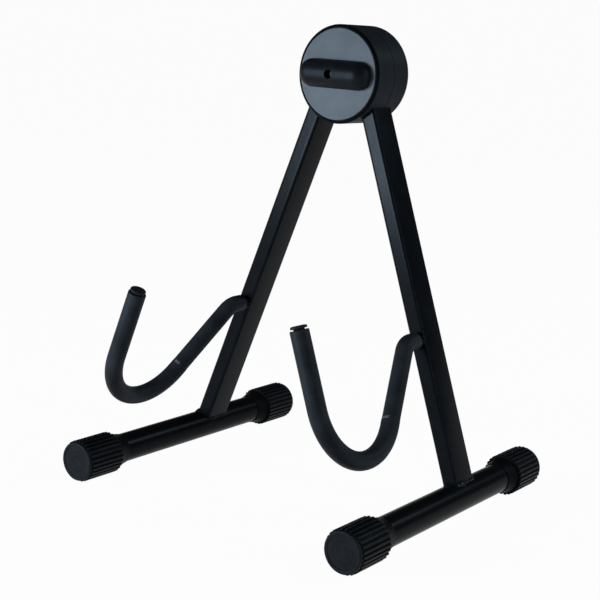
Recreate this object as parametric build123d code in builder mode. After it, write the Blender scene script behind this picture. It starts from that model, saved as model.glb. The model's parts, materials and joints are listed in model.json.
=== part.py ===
from build123d import *
import os
from math import asin, atan2, cos, degrees, hypot, radians, sin, tan

# A folding A-frame instrument stand. Millimetres, +Z up, front is -Y, floor at Z = 0,
# origin on the floor at the middle of the base.

# Base tubes and the rubber caps on their ends
BASE_LENGTH = 261.0            # over the end faces of the caps
TUBE_D = 23.0
TUBE_WALL = 1.5
CAP_D = 32.8                   # over the ribs
CAP_FLAT = 0.4                 # depth of the flat that a cap stands on
CAP_END_WALL = 4.0
CAP_RIBBED_LENGTH = 36.0       # end face to the far ends of the ribs
CAP_SKIRT_LENGTH = 12.0        # smooth cone from the ribs to the mouth
CAP_SKIRT_WALL = 2.6           # of the cone beside the ribs
CAP_LIP_WALL = 0.6             # of the cone at the mouth
CAP_RIM_CHAMFER = 1.2
CAP_FACE_BORDER = 1.8          # raised border round the end face
CAP_FACE_RECESS = 0.5
CAP_RIB_COUNT = 28
CAP_RIB_HEIGHT = 1.0
CAP_GROOVE_WIDTH = 1.7         # between two ribs
CAP_PLAIN_RIM = 2.6            # smooth band between the end face and the ribs
CAP_BORE_CLEARANCE = 0.1

# Legs
HINGE_HEIGHT = 324.8
LEG_SPREAD = 20.0              # degrees from upright, each leg, when open
LEG_WIDTH = 12.7
LEG_DEPTH = 25.4
LEG_WALL = 1.5
LEG_CORNER_R = 2.0
LEG_SETBACK = 28.2             # middle of the legs behind the middle of the base
LEG_TOP_MARGIN = 3.0           # leg end above the hinge barrel
WELD_GAP = 0.05
WELD_SIZE = 1.8
CLOSED_CAP_GAP = 0.8           # between the caps of the folded stand

# Hinge barrels, one on the left leg between two on the right leg
BARREL_D = 14.0
BARREL_CLEARANCE = 0.3         # from a barrel to the face of the other leg
LEFT_BARREL_LENGTH = 8.0
BARREL_STANDOUT = 0.3          # outer barrel ends past the leg faces
FRICTION_WASHER_D = 13.6
FRICTION_WASHER_THICKNESS = 0.5
WASHER_PLAY = 0.05

# Pivot spindle and its stack
SPINDLE_D = 8.0
SPINDLE_CLEARANCE = 0.05
WASHER_BORE_CLEARANCE = 0.1
SPACER_D = 13.0
SPACER_HOLE_CLEARANCE = 0.3
SPACER_STANDOUT = 0.3          # spacer past the outside of the front wall
THRUST_WASHER_D = 17.0
THRUST_WASHER_THICKNESS = 1.2
FLANGE_D = 16.0
FLANGE_THICKNESS = 2.0
SQUARE_SIZE = 8.0
SQUARE_LENGTH = 4.5
SQUARE_CLEARANCE = 0.1
NUT_WASHER_D = 16.0
NUT_WASHER_THICKNESS = 1.6
NUT_ACROSS_FLATS = 13.0
NUT_THICKNESS = 4.0
NUT_POCKET_CLEARANCE = 0.15
NUT_POCKET_WALL = 3.0
NUT_POCKET_DEPTH = 4.8         # how far the pocket boss stands in from the rear wall
UNSCREW_TRAVEL = 1.25          # one turn of the thread
CLIP_RUNOUT = 0.05             # gap left at the clip after that turn
CLIP_D = 12.0
CLIP_THICKNESS = 1.0
CLIP_GROOVE_DEPTH = 0.8
CLIP_GROOVE_CLEARANCE = 0.1
CLIP_MOUTH = 5.0
SPINDLE_TAIL = 0.9             # spindle end past the clip
KNOB_SCREW_D = 4.0
KNOB_SCREW_LENGTH = 9.0
KNOB_SCREW_HEAD_D = 6.4
KNOB_SCREW_HEAD_HEIGHT = 2.4
KNOB_SCREW_SEAT = 1.5          # plastic under the screw head
SCREW_CLEARANCE = 0.1

# Locking knob and the two-part housing round the hinge
KNOB_D = 69.4
KNOB_EDGE_R = 0.8
KNOB_PROUD = 0.3               # knob face ahead of the housing rim
KNOB_BACK_GAP = 0.4
KNOB_RIM_GAP = 0.6
KNOB_FLANGE_GAP = 0.5
BAR_LENGTH = 62.6
BAR_WIDTH = 21.6
BAR_HEIGHT = 12.8
BAR_CREST = 1.6                # flat left on top of the rounded bar
BAR_HOLE_D = 7.0
HOUSING_RIM_WALL = 2.2
HOUSING_RIM_DEPTH = 3.9        # rim ahead of the front wall
HOUSING_WALL = 2.5
HOUSING_EDGE_R = 1.5
HOUSING_RIM_BEVEL = 1.8
HOUSING_RIM_EDGE_R = 0.9
HOUSING_SEAM = 2.0             # joint line behind the middle of the legs
HOUSING_SEAM_CHAMFER = 0.4
FRONT_ROOM = 1.0               # legs to the inside of the front wall
REAR_ROOM = 7.0                # legs to the inside of the rear wall
RIGHT_LEG_CLEARANCE = 0.1      # housing to the leg that carries it
LEFT_LEG_CLEARANCE = 0.4       # housing to the leg that swings in it
POST_D = 7.0
POST_WALL_BITE = 0.6           # screw post sunk into the housing wall
HOUSING_SCREW_D = 3.0
HOUSING_SCREW_HEAD_D = 5.6
HOUSING_SCREW_HEAD_HEIGHT = 2.2
HOUSING_SCREW_SINK = 3.0       # screw seat below the rear face
HOUSING_SCREW_BITE = 10.0      # thread length in the front housing
HOUSING_SCREW_ANGLES = (0.0, 90.0, 180.0)

# Cradles: a bent rod with a rubber sleeve in front of each leg
ROD_D = 8.0
SLEEVE_D = 13.4
SLEEVE_CLEARANCE = 0.1
SLEEVE_START = 3.5             # bare rod between the leg and the sleeve
CRADLE_ROOT_HEIGHT = 123.0     # up the leg from the base tube's centre
CRADLE_STUB = 17.0             # leg face to the first bend's corner
CRADLE_REACH = 139.0           # leg face to the middle of the rising limb
CRADLE_BOWL_HEIGHT = 52.4      # lowest point, up the leg from the base tube's centre
CRADLE_TIP_HEIGHT = 152.0      # sleeve end, up the leg from the base tube's centre
STUB_BEND_R = 14.0
BOWL_BEND_R = 44.3
ROD_STANDOUT = 0.9             # rod end past the sleeve
PLUG_D = 12.0
PLUG_THICKNESS = 2.2
PLUG_EDGE_R = 0.6
PLUG_SPIGOT_D = 4.0
PLUG_SPIGOT_LENGTH = 7.0
PLUG_SPIGOT_CLEARANCE = 0.1
CRADLE_WELD_D = 13.0
CRADLE_WELD_TOP_D = 9.6
CRADLE_WELD_HEIGHT = 3.0

# Places worked out from the sizes above
spread = radians(LEG_SPREAD)
tube_z = CAP_D / 2 - CAP_FLAT
barrel_r = BARREL_D / 2
leg_inner = barrel_r + BARREL_CLEARANCE
leg_middle = leg_inner + LEG_WIDTH / 2
leg_outer = leg_inner + LEG_WIDTH
leg_front = LEG_DEPTH / 2
hinge_rise = HINGE_HEIGHT - tube_z
base_half_spacing = leg_middle / cos(spread) + hinge_rise * tan(spread)
leg_to_hinge = base_half_spacing * sin(spread) + hinge_rise * cos(spread)
leg_length = leg_to_hinge + barrel_r + LEG_TOP_MARGIN
closed_half_angle = degrees(
    asin((CAP_D + CLOSED_CAP_GAP) / 2 / hypot(leg_middle, leg_to_hinge)) - atan2(leg_middle, leg_to_hinge)
)
fold_angle = 2 * (LEG_SPREAD - closed_half_angle)

# Distances ahead of the legs' middle plane, through the head
head = Plane(origin=(0, LEG_SETBACK, HINGE_HEIGHT), x_dir=(1, 0, 0), z_dir=(0, -1, 0))
barrel_end = leg_front + BARREL_STANDOUT
front_wall_in = leg_front + FRONT_ROOM
front_wall_out = front_wall_in + HOUSING_WALL
rim_front = front_wall_out + HOUSING_RIM_DEPTH
rear_wall_in = leg_front + REAR_ROOM
rear_wall_out = rear_wall_in + HOUSING_WALL
rim_inner_r = KNOB_D / 2 + KNOB_RIM_GAP
housing_r = rim_inner_r + HOUSING_RIM_WALL
housing_inner_r = housing_r - HOUSING_WALL
spacer_end = front_wall_out + SPACER_STANDOUT
flange_back = spacer_end + THRUST_WASHER_THICKNESS
flange_front = flange_back + FLANGE_THICKNESS
square_end = flange_front + SQUARE_LENGTH
knob_back = front_wall_out + KNOB_BACK_GAP
knob_face = rim_front + KNOB_PROUD
bar_front = knob_face + BAR_HEIGHT
socket_end = square_end + SQUARE_CLEARANCE
screw_seat = socket_end + KNOB_SCREW_SEAT
nut_washer_back = barrel_end + NUT_WASHER_THICKNESS
nut_back = nut_washer_back + NUT_THICKNESS
clip_front = nut_back + UNSCREW_TRAVEL + CLIP_RUNOUT
clip_back = clip_front + CLIP_THICKNESS
spindle_rear = clip_back + SPINDLE_TAIL
spindle_bore_r = SPINDLE_D / 2 + SPINDLE_CLEARANCE
washer_bore_r = SPINDLE_D / 2 + WASHER_BORE_CLEARANCE
post_radius = housing_inner_r - POST_D / 2 + POST_WALL_BITE

# Corner where the sloping run of a cradle, tangent to the bowl, would meet the rising limb.
# Cradle coordinates are forward from the legs' middle plane and up the leg.
stub_corner = (leg_front + CRADLE_STUB, CRADLE_ROOT_HEIGHT)
limb_forward = leg_front + CRADLE_REACH
bowl_dx = limb_forward - BOWL_BEND_R - stub_corner[0]
bowl_dy = CRADLE_BOWL_HEIGHT + BOWL_BEND_R - stub_corner[1]
run_slope = atan2(bowl_dy, bowl_dx) - asin(BOWL_BEND_R / hypot(bowl_dx, bowl_dy))
bowl_corner = (limb_forward, stub_corner[1] + (limb_forward - stub_corner[0]) * tan(run_slope))
rod_end = CRADLE_TIP_HEIGHT + ROD_STANDOUT

os.makedirs("parts", exist_ok=True)


def save(piece, name):
    """Label a finished piece and write it under its own name."""
    piece.part.label = name
    export_step(piece.part, f"parts/{name}.step")


def base_centre(side):
    """Point on a base tube's axis where the leg's centreline meets it."""
    return (side * base_half_spacing, LEG_SETBACK, tube_z)


def leg_plane(side):
    """Plane square across a leg at its foot: X outwards, Z up the leg."""
    return Plane(
        origin=base_centre(side),
        x_dir=(side * cos(spread), 0, sin(spread)),
        z_dir=(-side * sin(spread), 0, cos(spread)),
    )


def cradle_plane(side):
    """Plane of a bent rod: X forwards, Y up the leg, from the base tube's centre."""
    return Plane(
        origin=base_centre(side),
        x_dir=(0, -1, 0),
        z_dir=(-cos(spread), 0, -side * sin(spread)),
    )


def cradle_points(start, end):
    """Corners of a cradle's centreline from a distance ahead of the leg face to a height."""
    return [(leg_front + start, CRADLE_ROOT_HEIGHT), stub_corner, bowl_corner, (limb_forward, end)]


def head_point(side, across, up, fold=0.0):
    """Point in the head plane, given across from the hinge axis and up along a leg."""
    tilt = radians(LEG_SPREAD - fold)
    return (side * (across * cos(tilt) - up * sin(tilt)), across * sin(tilt) + up * cos(tilt))


def ring(name, start, thickness, outer_d, bore_r):
    """Washer or bush on the hinge axis, from a distance ahead of the legs' middle plane."""
    with BuildPart() as washer:
        with BuildSketch(head.offset(start)):
            Circle(outer_d / 2)
            Circle(bore_r, mode=Mode.SUBTRACT)
        extrude(amount=thickness)
    save(washer, name)


def barrel(name, side, start, length):
    """Hinge barrel with a flat cheek that is welded to a leg's inner face."""
    cheek_angle = LEG_SPREAD if side > 0 else 180 - LEG_SPREAD
    with BuildPart() as knuckle:
        with BuildSketch(head.offset(start)):
            Circle(barrel_r)
            Rectangle(leg_inner, BARREL_D, rotation=cheek_angle, align=(Align.MIN, Align.CENTER))
            Circle(spindle_bore_r, mode=Mode.SUBTRACT)
        extrude(amount=length)
    save(knuckle, name)


def foot_cap(name, side, end):
    """Ribbed rubber cap on one end of a base tube; end is -1 at the front and 1 at the rear."""
    face_centre = (side * base_half_spacing, end * BASE_LENGTH / 2, tube_z)
    profile_plane = Plane(origin=face_centre, x_dir=(1, 0, 0), z_dir=(0, 0, -end))
    rib_plane = Plane(origin=face_centre, x_dir=(1, 0, 0), z_dir=(0, -end, 0))
    cap_r = CAP_D / 2
    rim_r = cap_r - CAP_RIB_HEIGHT
    bore_r = TUBE_D / 2 + CAP_BORE_CLEARANCE
    mouth = CAP_RIBBED_LENGTH + CAP_SKIRT_LENGTH
    border_r = rim_r - CAP_RIM_CHAMFER - CAP_FACE_BORDER
    with BuildPart() as cap:
        with BuildSketch(profile_plane):
            with BuildLine():
                Polyline(
                    (0, CAP_FACE_RECESS),
                    (border_r - CAP_FACE_RECESS, CAP_FACE_RECESS),
                    (border_r, 0),
                    (rim_r - CAP_RIM_CHAMFER, 0),
                    (rim_r, CAP_RIM_CHAMFER),
                    (rim_r, CAP_PLAIN_RIM),
                    (cap_r, CAP_PLAIN_RIM),
                    (cap_r, CAP_RIBBED_LENGTH),
                    (bore_r + CAP_SKIRT_WALL, CAP_RIBBED_LENGTH),
                    (bore_r + CAP_LIP_WALL, mouth),
                    (bore_r, mouth),
                    (bore_r, CAP_END_WALL),
                    (0, CAP_END_WALL),
                    close=True,
                )
            make_face()
        revolve(axis=Axis(face_centre, (0, 1, 0)))
        with BuildSketch(rib_plane.offset(CAP_PLAIN_RIM)):
            with PolarLocations(cap_r, CAP_RIB_COUNT, start_angle=180 / CAP_RIB_COUNT):
                Rectangle(2 * CAP_RIB_HEIGHT, CAP_GROOVE_WIDTH)
        extrude(amount=CAP_RIBBED_LENGTH - CAP_PLAIN_RIM, mode=Mode.SUBTRACT)
        split(bisect_by=Plane.XY, keep=Keep.TOP)
    save(cap, name)


# Openings in the housing wall: a close slot for the right leg, a wide one for the left leg's swing
slot_near = -0.5 * housing_inner_r
slot_far = -1.6 * housing_r
with BuildPart() as leg_openings:
    with BuildSketch(head.offset(-leg_front - RIGHT_LEG_CLEARANCE)):
        Polygon(
            head_point(1, leg_inner - RIGHT_LEG_CLEARANCE, slot_near),
            head_point(1, leg_inner - RIGHT_LEG_CLEARANCE, slot_far),
            head_point(1, leg_outer + RIGHT_LEG_CLEARANCE, slot_far),
            head_point(1, leg_outer + RIGHT_LEG_CLEARANCE, slot_near),
            align=None,
        )
    extrude(amount=LEG_DEPTH + 2 * RIGHT_LEG_CLEARANCE)
    with BuildSketch(head.offset(-leg_front - LEFT_LEG_CLEARANCE)):
        Polygon(
            head_point(-1, leg_outer + LEFT_LEG_CLEARANCE, slot_near),
            head_point(-1, leg_outer + LEFT_LEG_CLEARANCE, slot_far),
            head_point(-1, leg_inner - LEFT_LEG_CLEARANCE, slot_far, fold_angle),
            head_point(-1, leg_inner - LEFT_LEG_CLEARANCE, slot_near, fold_angle),
            align=None,
        )
    extrude(amount=LEG_DEPTH + 2 * LEFT_LEG_CLEARANCE)

post_spots = [
    (post_radius * cos(radians(angle)), post_radius * sin(radians(angle))) for angle in HOUSING_SCREW_ANGLES
]

# The two frames: leg, base tube, caps and cradle, alike on both sides
for side_name, side in (("left", -1), ("right", 1)):
    foot = base_centre(side)
    tube_half = BASE_LENGTH / 2 - CAP_END_WALL
    tip_plane = Plane(
        origin=cradle_plane(side).from_local_coords((limb_forward, rod_end, 0)),
        x_dir=(0, -1, 0),
        z_dir=(-side * sin(spread), 0, cos(spread)),
    )
    weld_plane = Plane(
        origin=cradle_plane(side).from_local_coords((leg_front, CRADLE_ROOT_HEIGHT, 0)),
        x_dir=(1, 0, 0),
        z_dir=(0, -1, 0),
    )

    with BuildPart() as leg_tube:
        with BuildSketch(leg_plane(side)):
            RectangleRounded(LEG_WIDTH, LEG_DEPTH, LEG_CORNER_R)
            offset(amount=-LEG_WALL, mode=Mode.SUBTRACT)
        extrude(amount=leg_length)
        with Locations(foot):
            Cylinder(TUBE_D / 2 + WELD_GAP, 2 * LEG_DEPTH, rotation=(90, 0, 0), mode=Mode.SUBTRACT)
    save(leg_tube, f"{side_name}_leg_tube")

    with BuildPart() as base_tube:
        with BuildSketch(Plane(origin=(foot[0], -tube_half, tube_z), x_dir=(1, 0, 0), z_dir=(0, 1, 0))):
            Circle(TUBE_D / 2)
            Circle(TUBE_D / 2 - TUBE_WALL, mode=Mode.SUBTRACT)
        extrude(amount=2 * tube_half)
    save(base_tube, f"{side_name}_base_tube")

    foot_cap(f"{side_name}_front_foot_cap", side, -1)
    foot_cap(f"{side_name}_rear_foot_cap", side, 1)

    with BuildPart() as leg_weld:
        with BuildSketch(leg_plane(side)):
            RectangleRounded(LEG_WIDTH + 2 * WELD_SIZE, LEG_DEPTH + 2 * WELD_SIZE, LEG_CORNER_R + WELD_SIZE)
            RectangleRounded(LEG_WIDTH, LEG_DEPTH, LEG_CORNER_R, mode=Mode.SUBTRACT)
        extrude(amount=TUBE_D)
        with Locations(foot):
            Cylinder(TUBE_D / 2 + WELD_SIZE, 2 * LEG_DEPTH, rotation=(90, 0, 0), mode=Mode.INTERSECT)
            Cylinder(TUBE_D / 2 + WELD_GAP, 2 * LEG_DEPTH, rotation=(90, 0, 0), mode=Mode.SUBTRACT)
    save(leg_weld, f"{side_name}_leg_weld")

    with BuildPart() as rod:
        with BuildLine(cradle_plane(side)) as rod_path:
            FilletPolyline(*cradle_points(0, rod_end), radius=(STUB_BEND_R, BOWL_BEND_R))
        with BuildSketch(Plane(origin=rod_path.wire() @ 0, z_dir=rod_path.wire() % 0)):
            Circle(ROD_D / 2)
        sweep(path=rod_path.wire())
        with BuildSketch(tip_plane):
            Circle(PLUG_SPIGOT_D / 2 + PLUG_SPIGOT_CLEARANCE)
        extrude(amount=-PLUG_SPIGOT_LENGTH - PLUG_SPIGOT_CLEARANCE, mode=Mode.SUBTRACT)
    save(rod, f"{side_name}_cradle_rod")

    with BuildPart() as sleeve:
        with BuildLine(cradle_plane(side)) as sleeve_path:
            FilletPolyline(
                *cradle_points(SLEEVE_START, CRADLE_TIP_HEIGHT), radius=(STUB_BEND_R, BOWL_BEND_R)
            )
        with BuildSketch(Plane(origin=sleeve_path.wire() @ 0, z_dir=sleeve_path.wire() % 0)):
            Circle(SLEEVE_D / 2)
            Circle(ROD_D / 2 + SLEEVE_CLEARANCE, mode=Mode.SUBTRACT)
        sweep(path=sleeve_path.wire())
    save(sleeve, f"{side_name}_cradle_sleeve")

    with BuildPart() as end_plug:
        with BuildSketch(tip_plane):
            Circle(PLUG_D / 2)
        extrude(amount=PLUG_THICKNESS)
        fillet(end_plug.edges(), PLUG_EDGE_R)
        with BuildSketch(tip_plane):
            Circle(PLUG_SPIGOT_D / 2)
        extrude(amount=-PLUG_SPIGOT_LENGTH)
    save(end_plug, f"{side_name}_cradle_end_plug")

    with BuildPart() as cradle_weld:
        with BuildSketch(weld_plane):
            Circle(CRADLE_WELD_D / 2)
        with BuildSketch(weld_plane.offset(CRADLE_WELD_HEIGHT)):
            Circle(CRADLE_WELD_TOP_D / 2)
        loft()
        with BuildSketch(weld_plane):
            Circle(ROD_D / 2 + WELD_GAP)
        extrude(amount=CRADLE_WELD_HEIGHT, mode=Mode.SUBTRACT)
    save(cradle_weld, f"{side_name}_cradle_weld")

# Hinge barrels and the friction washers between them
left_barrel_end = LEFT_BARREL_LENGTH / 2
right_barrel_start = left_barrel_end + FRICTION_WASHER_THICKNESS + 2 * WASHER_PLAY
right_barrel_length = barrel_end - right_barrel_start
barrel("left_hinge_barrel", -1, -left_barrel_end, LEFT_BARREL_LENGTH)
barrel("right_front_hinge_barrel", 1, right_barrel_start, right_barrel_length)
barrel("right_rear_hinge_barrel", 1, -barrel_end, right_barrel_length)
ring(
    "front_friction_washer",
    left_barrel_end + WASHER_PLAY,
    FRICTION_WASHER_THICKNESS,
    FRICTION_WASHER_D,
    washer_bore_r,
)
ring(
    "rear_friction_washer",
    -left_barrel_end - WASHER_PLAY,
    -FRICTION_WASHER_THICKNESS,
    FRICTION_WASHER_D,
    washer_bore_r,
)

# Stack on the spindle, front to rear
ring("thrust_washer", spacer_end, THRUST_WASHER_THICKNESS, THRUST_WASHER_D, washer_bore_r)
ring("spacer_bush", barrel_end, spacer_end - barrel_end, SPACER_D, spindle_bore_r)
ring("nut_washer", -barrel_end, -NUT_WASHER_THICKNESS, NUT_WASHER_D, washer_bore_r)

with BuildPart() as clamp_nut:
    with BuildSketch(head.offset(-nut_washer_back)):
        RegularPolygon(NUT_ACROSS_FLATS / 2, 6, major_radius=False)
        Circle(spindle_bore_r, mode=Mode.SUBTRACT)
    extrude(amount=-NUT_THICKNESS)
save(clamp_nut, "clamp_nut")

with BuildPart() as pivot_spindle:
    with BuildSketch(head.offset(-spindle_rear)):
        Circle(SPINDLE_D / 2)
    extrude(amount=spindle_rear + flange_back)
    chamfer(pivot_spindle.faces().sort_by(Axis.Y)[-1].edges(), SPINDLE_TAIL / 2)
    with BuildSketch(head.offset(flange_back)):
        Circle(FLANGE_D / 2)
    extrude(amount=FLANGE_THICKNESS)
    with BuildSketch(head.offset(flange_front)):
        Rectangle(SQUARE_SIZE, SQUARE_SIZE)
    extrude(amount=SQUARE_LENGTH)
    with BuildSketch(head.offset(square_end)):
        Circle(KNOB_SCREW_D / 2 + SCREW_CLEARANCE)
    extrude(amount=-KNOB_SCREW_LENGTH, mode=Mode.SUBTRACT)
    with BuildSketch(head.offset(-clip_back)):
        Circle(SPINDLE_D / 2)
        Circle(SPINDLE_D / 2 - CLIP_GROOVE_DEPTH, mode=Mode.SUBTRACT)
    extrude(amount=CLIP_THICKNESS, mode=Mode.SUBTRACT)
save(pivot_spindle, "pivot_spindle")

with BuildPart() as retaining_clip:
    with BuildSketch(head.offset(-clip_back)):
        Circle(CLIP_D / 2)
        Circle(SPINDLE_D / 2 - CLIP_GROOVE_DEPTH + CLIP_GROOVE_CLEARANCE, mode=Mode.SUBTRACT)
        Rectangle(CLIP_MOUTH, CLIP_D, align=(Align.CENTER, Align.MAX), mode=Mode.SUBTRACT)
    extrude(amount=CLIP_THICKNESS)
save(retaining_clip, "retaining_clip")

# Knob: a disc with a rounded grip bar, squared on the spindle and held by a sunk screw
with BuildPart() as lock_knob:
    with BuildSketch(head.offset(knob_back)):
        Circle(KNOB_D / 2)
    extrude(amount=knob_face - knob_back)
    fillet(lock_knob.faces().sort_by(Axis.Y)[0].edges(), KNOB_EDGE_R)
    with BuildSketch(head.offset(knob_face)):
        SlotOverall(BAR_LENGTH, BAR_WIDTH)
    extrude(amount=BAR_HEIGHT)
    fillet(lock_knob.faces().sort_by(Axis.Y)[0].edges(), (BAR_WIDTH - BAR_CREST) / 2)
    with BuildSketch(head.offset(knob_back)):
        Circle(max(THRUST_WASHER_D, FLANGE_D) / 2 + KNOB_FLANGE_GAP)
    extrude(amount=flange_front - knob_back, mode=Mode.SUBTRACT)
    with BuildSketch(head.offset(flange_front)):
        Rectangle(SQUARE_SIZE + 2 * SQUARE_CLEARANCE, SQUARE_SIZE + 2 * SQUARE_CLEARANCE)
    extrude(amount=socket_end - flange_front, mode=Mode.SUBTRACT)
    with BuildSketch(head.offset(socket_end)):
        Circle(KNOB_SCREW_D / 2 + SCREW_CLEARANCE)
    extrude(amount=bar_front - socket_end, mode=Mode.SUBTRACT)
    with BuildSketch(head.offset(screw_seat)):
        Circle(BAR_HOLE_D / 2)
    extrude(amount=bar_front - screw_seat, mode=Mode.SUBTRACT)
save(lock_knob, "lock_knob")

with BuildPart() as knob_screw:
    with BuildSketch(head.offset(screw_seat)):
        Circle(KNOB_SCREW_HEAD_D / 2)
    extrude(amount=KNOB_SCREW_HEAD_HEIGHT)
    fillet(knob_screw.faces().sort_by(Axis.Y)[0].edges(), KNOB_SCREW_HEAD_HEIGHT / 2)
    with BuildSketch(head.offset(screw_seat)):
        Circle(KNOB_SCREW_D / 2)
    extrude(amount=-KNOB_SCREW_LENGTH)
save(knob_screw, "knob_screw")

# Housing: a front shell that the knob sits in and a rear shell, closed round the right leg
with BuildPart() as front_housing:
    with BuildSketch(head.offset(-HOUSING_SEAM)):
        Circle(housing_r)
    extrude(amount=HOUSING_SEAM + rim_front)
    chamfer(front_housing.faces().sort_by(Axis.Y)[-1].edges(), HOUSING_SEAM_CHAMFER)
    chamfer(front_housing.faces().sort_by(Axis.Y)[0].edges(), HOUSING_RIM_BEVEL)
    fillet(front_housing.edges().filter_by(GeomType.CIRCLE).sort_by(Axis.Y)[1], HOUSING_RIM_EDGE_R)
    with BuildSketch(head.offset(-HOUSING_SEAM)):
        Circle(housing_inner_r)
    extrude(amount=HOUSING_SEAM + front_wall_in, mode=Mode.SUBTRACT)
    with BuildSketch(head.offset(front_wall_out)):
        Circle(rim_inner_r)
    extrude(amount=HOUSING_RIM_DEPTH, mode=Mode.SUBTRACT)
    with BuildSketch(head.offset(-HOUSING_SEAM)):
        with Locations(*post_spots):
            Circle(POST_D / 2)
    extrude(amount=HOUSING_SEAM + front_wall_in)
    with BuildSketch(head.offset(-HOUSING_SEAM)):
        with Locations(*post_spots):
            Circle(HOUSING_SCREW_D / 2 + SCREW_CLEARANCE)
    extrude(amount=HOUSING_SCREW_BITE, mode=Mode.SUBTRACT)
    with BuildSketch(head.offset(front_wall_in)):
        Circle(SPACER_D / 2 + SPACER_HOLE_CLEARANCE)
    extrude(amount=HOUSING_WALL, mode=Mode.SUBTRACT)
    add(leg_openings.part, mode=Mode.SUBTRACT)
save(front_housing, "front_housing")

nut_pocket_radius = NUT_ACROSS_FLATS / 2 + NUT_POCKET_CLEARANCE
with BuildPart() as rear_housing:
    with BuildSketch(head.offset(-HOUSING_SEAM)):
        Circle(housing_r)
    extrude(amount=HOUSING_SEAM - rear_wall_out)
    chamfer(rear_housing.faces().sort_by(Axis.Y)[0].edges(), HOUSING_SEAM_CHAMFER)
    fillet(rear_housing.faces().sort_by(Axis.Y)[-1].edges(), HOUSING_EDGE_R)
    with BuildSketch(head.offset(-HOUSING_SEAM)):
        Circle(housing_inner_r)
    extrude(amount=HOUSING_SEAM - rear_wall_in, mode=Mode.SUBTRACT)
    with BuildSketch(head.offset(-rear_wall_in)):
        Circle(nut_pocket_radius + NUT_POCKET_WALL)
    extrude(amount=NUT_POCKET_DEPTH)
    with BuildSketch(head.offset(-HOUSING_SEAM)):
        with Locations(*post_spots):
            Circle(POST_D / 2)
    extrude(amount=HOUSING_SEAM - rear_wall_in)
    with BuildSketch(head.offset(-HOUSING_SEAM)):
        with Locations(*post_spots):
            Circle(HOUSING_SCREW_D / 2 + SCREW_CLEARANCE)
    extrude(amount=HOUSING_SEAM - rear_wall_out, mode=Mode.SUBTRACT)
    with BuildSketch(head.offset(-rear_wall_out)):
        with Locations(*post_spots):
            Circle(HOUSING_SCREW_HEAD_D / 2 + SCREW_CLEARANCE)
    extrude(amount=HOUSING_SCREW_SINK, mode=Mode.SUBTRACT)
    with BuildSketch(head.offset(-rear_wall_out)):
        RegularPolygon(nut_pocket_radius, 6, major_radius=False)
    extrude(amount=HOUSING_WALL + NUT_POCKET_DEPTH, mode=Mode.SUBTRACT)
    add(leg_openings.part, mode=Mode.SUBTRACT)
save(rear_housing, "rear_housing")

screw_head_back = rear_wall_out - HOUSING_SCREW_SINK
with BuildPart() as housing_screws:
    with BuildSketch(head.offset(-screw_head_back)):
        with Locations(*post_spots):
            Circle(HOUSING_SCREW_HEAD_D / 2)
    extrude(amount=-HOUSING_SCREW_HEAD_HEIGHT)
    with BuildSketch(head.offset(-screw_head_back)):
        with Locations(*post_spots):
            Circle(HOUSING_SCREW_D / 2)
    extrude(amount=screw_head_back - HOUSING_SEAM + HOUSING_SCREW_BITE - SCREW_CLEARANCE)
save(housing_screws, "housing_screws")

print(f"base tube centres at x = +-{base_half_spacing:.3f}, z = {tube_z:.3f}")
print(f"hinge axis at y = {LEG_SETBACK:.3f}, z = {HINGE_HEIGHT:.3f}, folds {fold_angle:.3f} degrees")
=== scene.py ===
import json
from functools import partial
from math import asin, atan2, cos, exp, hypot, pi, radians, sin, sqrt, tan

import bmesh
import bpy
from bpy.props import FloatProperty, FloatVectorProperty, IntProperty, PointerProperty
from mathutils import Matrix, Vector


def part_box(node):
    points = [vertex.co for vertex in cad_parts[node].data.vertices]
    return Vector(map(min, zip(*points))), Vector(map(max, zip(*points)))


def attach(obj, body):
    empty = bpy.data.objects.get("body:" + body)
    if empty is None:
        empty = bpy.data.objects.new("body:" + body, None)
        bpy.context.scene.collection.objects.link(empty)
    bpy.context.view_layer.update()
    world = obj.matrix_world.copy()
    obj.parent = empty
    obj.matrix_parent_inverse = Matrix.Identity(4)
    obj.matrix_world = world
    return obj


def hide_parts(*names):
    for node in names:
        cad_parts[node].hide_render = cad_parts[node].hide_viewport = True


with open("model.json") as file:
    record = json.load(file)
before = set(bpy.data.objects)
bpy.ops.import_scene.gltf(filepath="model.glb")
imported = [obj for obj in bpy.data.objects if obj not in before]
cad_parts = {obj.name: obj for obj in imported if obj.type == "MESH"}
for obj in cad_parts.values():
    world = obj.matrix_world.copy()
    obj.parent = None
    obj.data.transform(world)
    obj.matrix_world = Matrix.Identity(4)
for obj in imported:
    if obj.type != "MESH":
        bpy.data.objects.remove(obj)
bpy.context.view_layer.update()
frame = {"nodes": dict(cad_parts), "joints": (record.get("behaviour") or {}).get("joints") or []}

bl_info = {
    "name": "Folding Instrument Stand",
    "version": (1, 0, 0),
    "blender": (4, 5, 0),
    "location": "View3D > Sidebar > Stand",
    "description": "Dresses the packed solids of a folding A-frame instrument stand and sets its stage",
    "category": "Object",
}

MM = 0.001
MERGE_DISTANCE = 1e-7
NEAR = 0.01 * MM
SIDES = (("left", -1), ("right", 1))
ENDS = (("front", -1), ("rear", 1))

# Stretch that a noise mostly keeps to
NOISE_LOW = 0.3
NOISE_HIGH = 0.7

# Colour of the mirror-like part of the finishes
GLOSS_TINT = (0.78, 0.90, 1.0, 1.0)

# Depth that a weld bead bites into the steel
WELD_BITE = 0.1 * MM

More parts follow.
